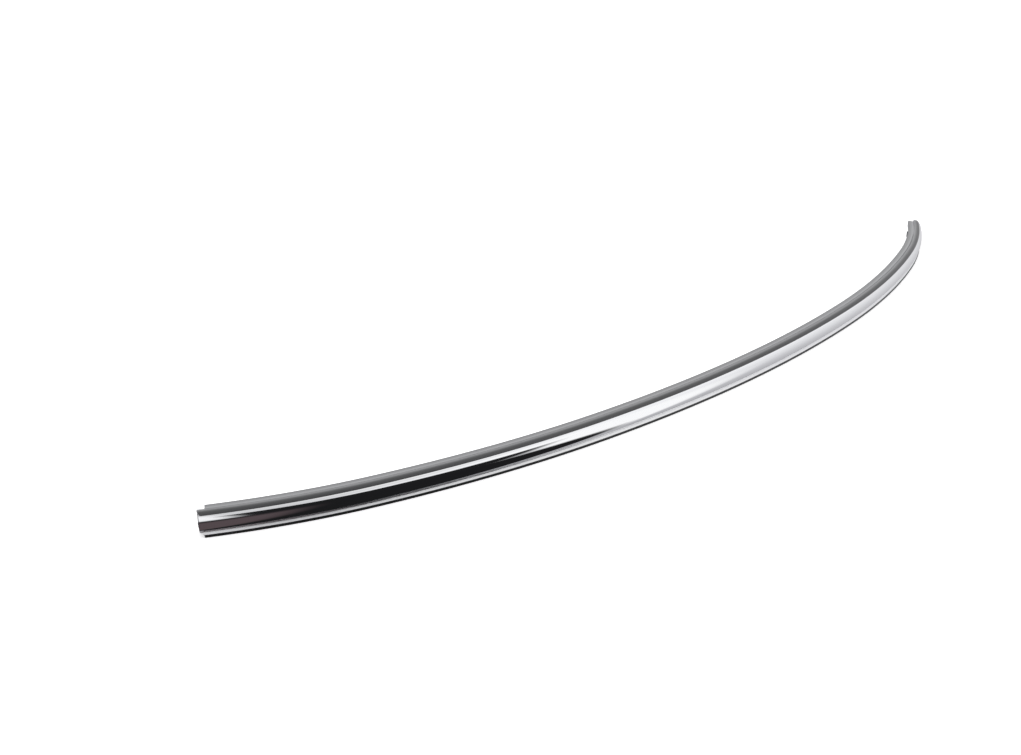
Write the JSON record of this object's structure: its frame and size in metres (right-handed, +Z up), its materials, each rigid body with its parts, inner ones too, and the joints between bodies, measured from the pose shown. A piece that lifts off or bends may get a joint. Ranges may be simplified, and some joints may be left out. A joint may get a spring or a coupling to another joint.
{
  "type": "curved bright trim moulding",
  "caption": "Long, slim moulding curved in plan, with a crowned bright face, a grey upper seal, a black lower lip and sliding stud clips behind.",
  "frame": {"origin": "on the mid-plane, at the mouth of the centre clip's stud hole, level with the middle of the carrier rail", "axes": "+X along the moulding's chord, +Y into the body panel that it is fixed to, away from the bright face, +Z up"},
  "size_m": [1.3126, 0.1624, 0.0242],
  "materials": {
    "bright_cover": "bright polished stainless sheet",
    "rail": "extruded, ribbed by the die",
    "bead": "smooth satin",
    "upper_seal": "smooth satin, light grey",
    "lower_seal": "matte black",
    "backing": "moulded filler",
    "clip": "natural moulded nylon",
    "spring_steel": "blued spring steel",
    "end_block": "fine moulded grain",
    "screw": "zinc plated"
  },
  "bodies": {
    "moulding": {"bright_cover": "bright_cover", "carrier_rail": "rail", "upper_bead": "bead", "upper_seal": "upper_seal", "lower_seal": "lower_seal", "centre_clip": "clip", "centre_push_nut": "spring_steel", "end_block_left": "end_block", "end_block_right": "end_block", "end_screw_left": "screw", "end_screw_right": "screw", "grub_screw_left": "screw", "grub_screw_right": "screw", "face_backing_1": "backing", "face_backing_2": "backing", "face_backing_3": "backing", "face_backing_4": "backing", "face_backing_5": "backing", "face_backing_6": "backing", "face_backing_7": "backing", "face_backing_8": "backing", "face_backing_9": "backing", "face_backing_10": "backing", "face_backing_11": "backing", "face_backing_12": "backing", "face_backing_13": "backing"},
    "clip_1": {"stud_clip_1": "clip", "push_nut_1": "spring_steel"},
    "clip_2": {"stud_clip_2": "clip", "push_nut_2": "spring_steel"},
    "clip_3": {"stud_clip_3": "clip", "push_nut_3": "spring_steel"},
    "clip_4": {"stud_clip_4": "clip", "push_nut_4": "spring_steel"},
    "clip_5": {"stud_clip_5": "clip", "push_nut_5": "spring_steel"},
    "clip_6": {"stud_clip_6": "clip", "push_nut_6": "spring_steel"}
  },
  "joints": [
    {"name": "clip_1_slide", "type": "slide", "parent": "moulding", "child": "clip_1", "axis": [0.9024, -0.4309, 0], "range_m": [-0.006, 0.006]},
    {"name": "clip_2_slide", "type": "slide", "parent": "moulding", "child": "clip_2", "axis": [0.971, -0.2392, 0], "range_m": [-0.006, 0.006]},
    {"name": "clip_3_slide", "type": "slide", "parent": "moulding", "child": "clip_3", "axis": [0.9945, -0.1047, 0], "range_m": [-0.006, 0.006]},
    {"name": "clip_4_slide", "type": "slide", "parent": "moulding", "child": "clip_4", "axis": [0.9945, 0.1047, 0], "range_m": [-0.006, 0.006]},
    {"name": "clip_5_slide", "type": "slide", "parent": "moulding", "child": "clip_5", "axis": [0.971, 0.2392, 0], "range_m": [-0.006, 0.006]},
    {"name": "clip_6_slide", "type": "slide", "parent": "moulding", "child": "clip_6", "axis": [0.9024, 0.4309, 0], "range_m": [-0.006, 0.006]}
  ]
}
